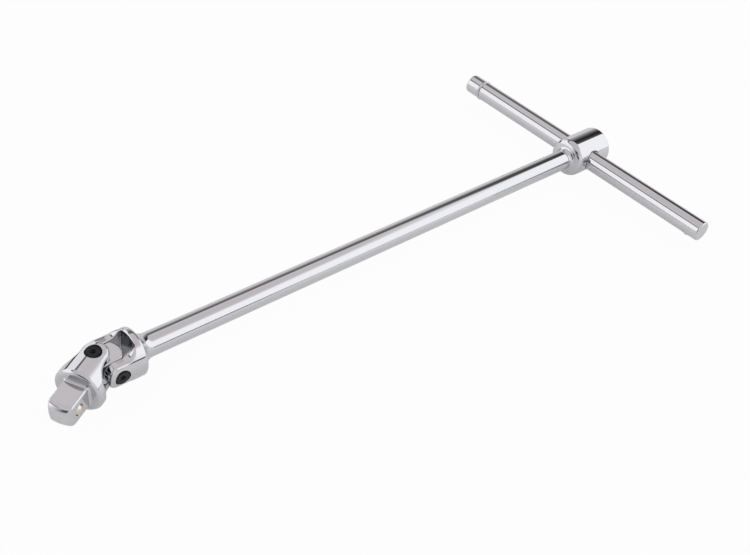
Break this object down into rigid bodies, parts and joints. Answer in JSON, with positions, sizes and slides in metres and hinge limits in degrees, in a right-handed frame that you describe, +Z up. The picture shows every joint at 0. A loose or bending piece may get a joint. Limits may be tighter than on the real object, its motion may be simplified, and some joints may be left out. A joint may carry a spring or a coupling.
{
  "type": "sliding t-handle driver with universal joint",
  "caption": "Chrome sliding T-handle driver: cross bar in a round hub, long round spindle and a pinned universal joint that ends in a male square drive with a spring ball.",
  "frame": {"origin": "under the middle of the bounding box of the tool as it lies, on the plane it lies on", "axes": "+X along the spindle from the hub to the drive, +Y along the cross bar towards its ball end, +Z up"},
  "size_m": [0.4038, 0.2, 0.027],
  "materials": {
    "chrome_plate": "mirror-bright chrome plate on forged steel",
    "black_oxide": "black oxide on steel, satin",
    "ball_steel": "bright ground steel",
    "spring_steel": "plain drawn wire"
  },
  "bodies": {
    "spindle": {"spindle": "chrome_plate", "shaft_fork_pin": "black_oxide"},
    "stop_ring": {"stop_ring": "chrome_plate"},
    "sliding_bar": {"t_bar": "chrome_plate", "bar_ball_spring": "spring_steel"},
    "bar_ball": {"bar_ball": "ball_steel"},
    "knuckle": {"knuckle_block": "chrome_plate"},
    "drive_end": {"drive_fork": "chrome_plate", "drive_fork_pin": "black_oxide", "drive_ball_spring": "spring_steel"},
    "drive_ball": {"drive_ball": "ball_steel"}
  },
  "joints": [
    {"name": "bar_slide", "type": "slide", "parent": "spindle", "child": "stop_ring", "axis": [0, 1, 0], "range_m": [-0.0785, 0.0752]},
    {"name": "bar_spin", "type": "hinge", "parent": "stop_ring", "child": "sliding_bar", "pos_m": [-0.18551, 0, 0.01429], "axis": [0, 1, 0], "continuous": true},
    {"name": "bar_ball_press", "type": "slide", "parent": "sliding_bar", "child": "bar_ball", "axis": [-0.7431, 0, 0.6691], "range_m": [0, 0.0006], "stiffness_N_per_m": 600, "springref_m": -0.002, "deforming": ["bar_ball_spring"]},
    {"name": "shaft_fork_swing", "type": "hinge", "parent": "spindle", "child": "knuckle", "pos_m": [0.16369, 0, 0.01429], "axis": [0, 0.999, -0.0436], "range_deg": [-58, 51]},
    {"name": "drive_fork_swing", "type": "hinge", "parent": "knuckle", "child": "drive_end", "pos_m": [0.17127, -0.00002, 0.01378], "axis": [0.0663, 0.0435, 0.9969], "range_deg": [-83, 26]},
    {"name": "drive_ball_press", "type": "slide", "parent": "drive_end", "child": "drive_ball", "axis": [0.4822, -0.876, 0.0062], "range_m": [0, 0.0013], "stiffness_N_per_m": 800, "springref_m": -0.002, "deforming": ["drive_ball_spring"]}
  ]
}
